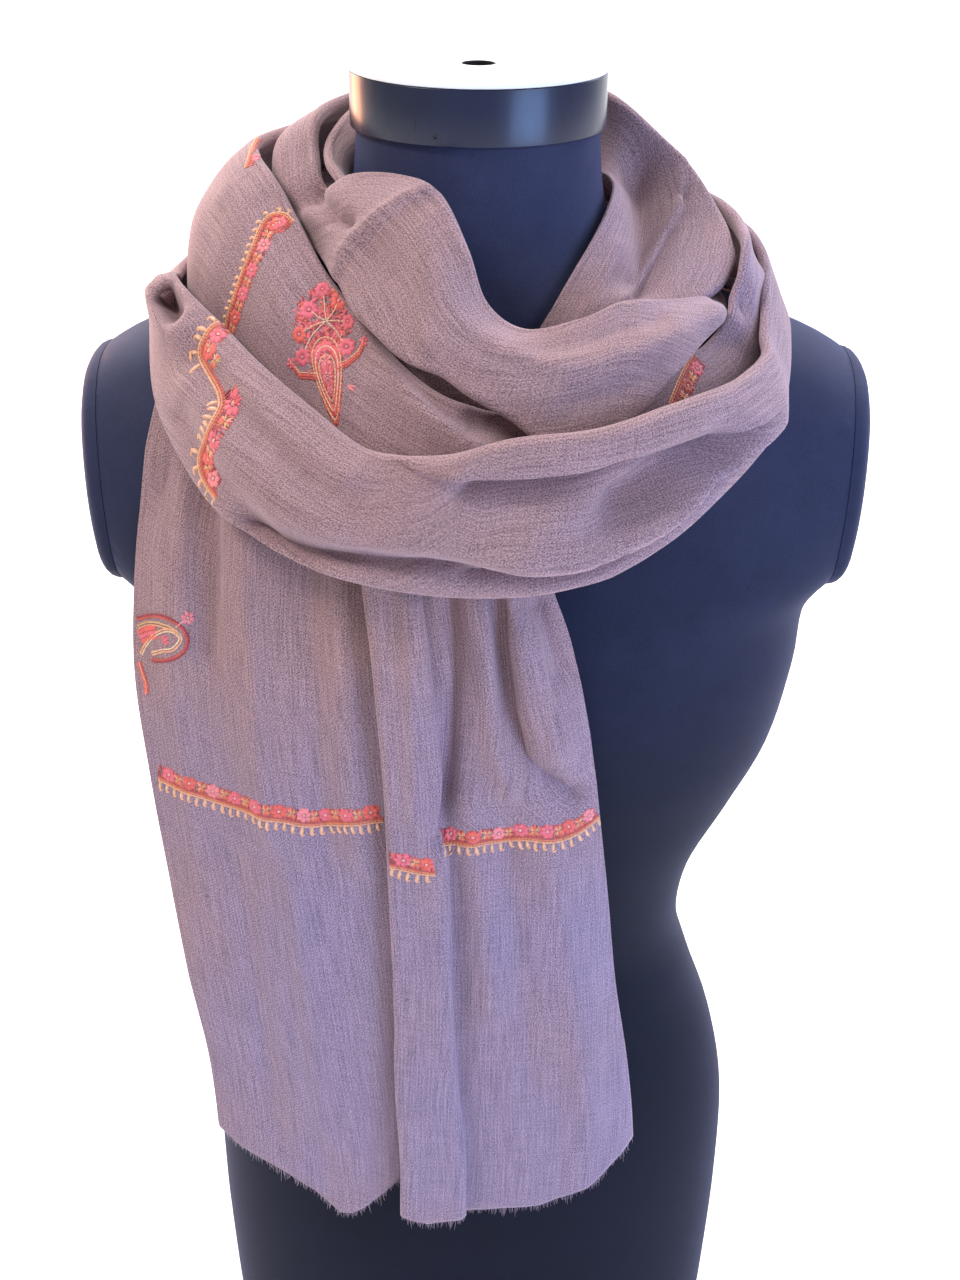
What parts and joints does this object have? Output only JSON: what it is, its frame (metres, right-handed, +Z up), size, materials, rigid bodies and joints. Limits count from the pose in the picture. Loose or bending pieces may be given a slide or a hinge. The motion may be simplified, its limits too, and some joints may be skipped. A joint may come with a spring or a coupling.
{
  "type": "pashmina shawl on a dress form",
  "caption": "Fine wool shawl with embroidered borders and fringed ends, wound in loose loops round the neck of a limbless dress form, both ends hanging in front.",
  "frame": {"origin": "centre of the dress form's flat base", "axes": "+Z up the form, -Y the way the form faces, +X its left hand side (the viewer's right)"},
  "size_m": [0.3826, 0.3221, 0.7813],
  "materials": {
    "shawl": "soft napped fine wool twill",
    "jersey": "matte knitted cover",
    "band": "satin gloss",
    "cap": "smooth matte"
  },
  "bodies": {
    "root": {"form_torso": "jersey", "form_arm_plate_left": "jersey", "form_arm_plate_right": "jersey", "neck_band": "band", "neck_cap": "cap", "neck_collar": "shawl", "inner_loop": "shawl", "middle_loop": "shawl", "outer_loop": "shawl", "left_tail": "shawl", "right_tail": "shawl", "left_fringe": "shawl", "right_fringe": "shawl"}
  },
  "joints": []
}
